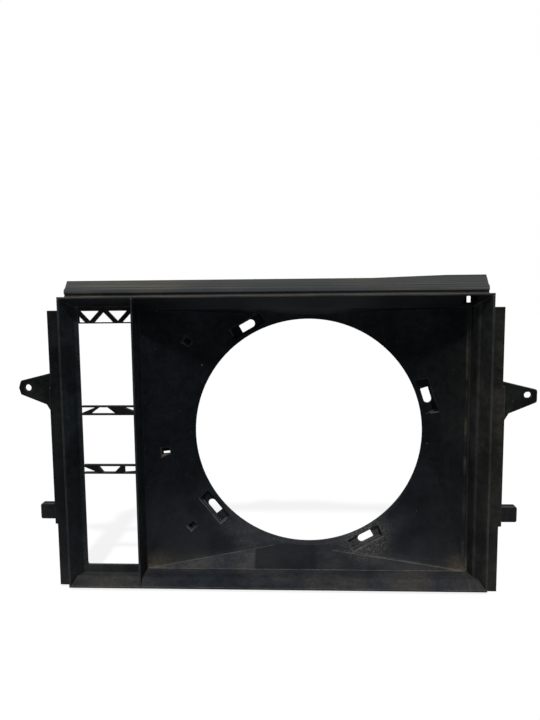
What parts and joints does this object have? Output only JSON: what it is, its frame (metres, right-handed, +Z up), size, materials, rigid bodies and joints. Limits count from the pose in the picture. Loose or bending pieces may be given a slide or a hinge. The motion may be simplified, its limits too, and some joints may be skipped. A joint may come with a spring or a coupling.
{
  "type": "radiator fan shroud",
  "caption": "Shallow moulded tray that funnels a radiator's air to a round fan opening, with an open side column, fixing ears and a ribbed rubber sealing strip.",
  "frame": {"origin": "centre of the fan opening, halfway along its collar", "axes": "+X to the right as seen from the radiator, +Y through the fan opening away from the radiator, +Z up"},
  "size_m": [0.8213, 0.1, 0.5067],
  "materials": {
    "moulding": "dull black moulded plastic with a little dust",
    "seal": "weathered ribbed rubber"
  },
  "bodies": {
    "root": {"wall_top": "moulding", "wall_bottom": "moulding", "wall_left": "moulding", "wall_right": "moulding", "column_divider": "moulding", "column_frame": "moulding", "truss_upper": "moulding", "truss_middle": "moulding", "truss_lower": "moulding", "fan_panel": "moulding", "fan_ring": "moulding", "bayonet_pocket_1": "moulding", "bayonet_pocket_2": "moulding", "bayonet_pocket_3": "moulding", "bayonet_pocket_4": "moulding", "clip_socket_1": "moulding", "clip_socket_2": "moulding", "clip_socket_3": "moulding", "flange_left": "moulding", "flange_right": "moulding", "ear_left": "moulding", "ear_right": "moulding", "stub_left": "moulding", "stub_right": "moulding", "latch_plate": "moulding", "top_seal": "seal"}
  },
  "joints": []
}
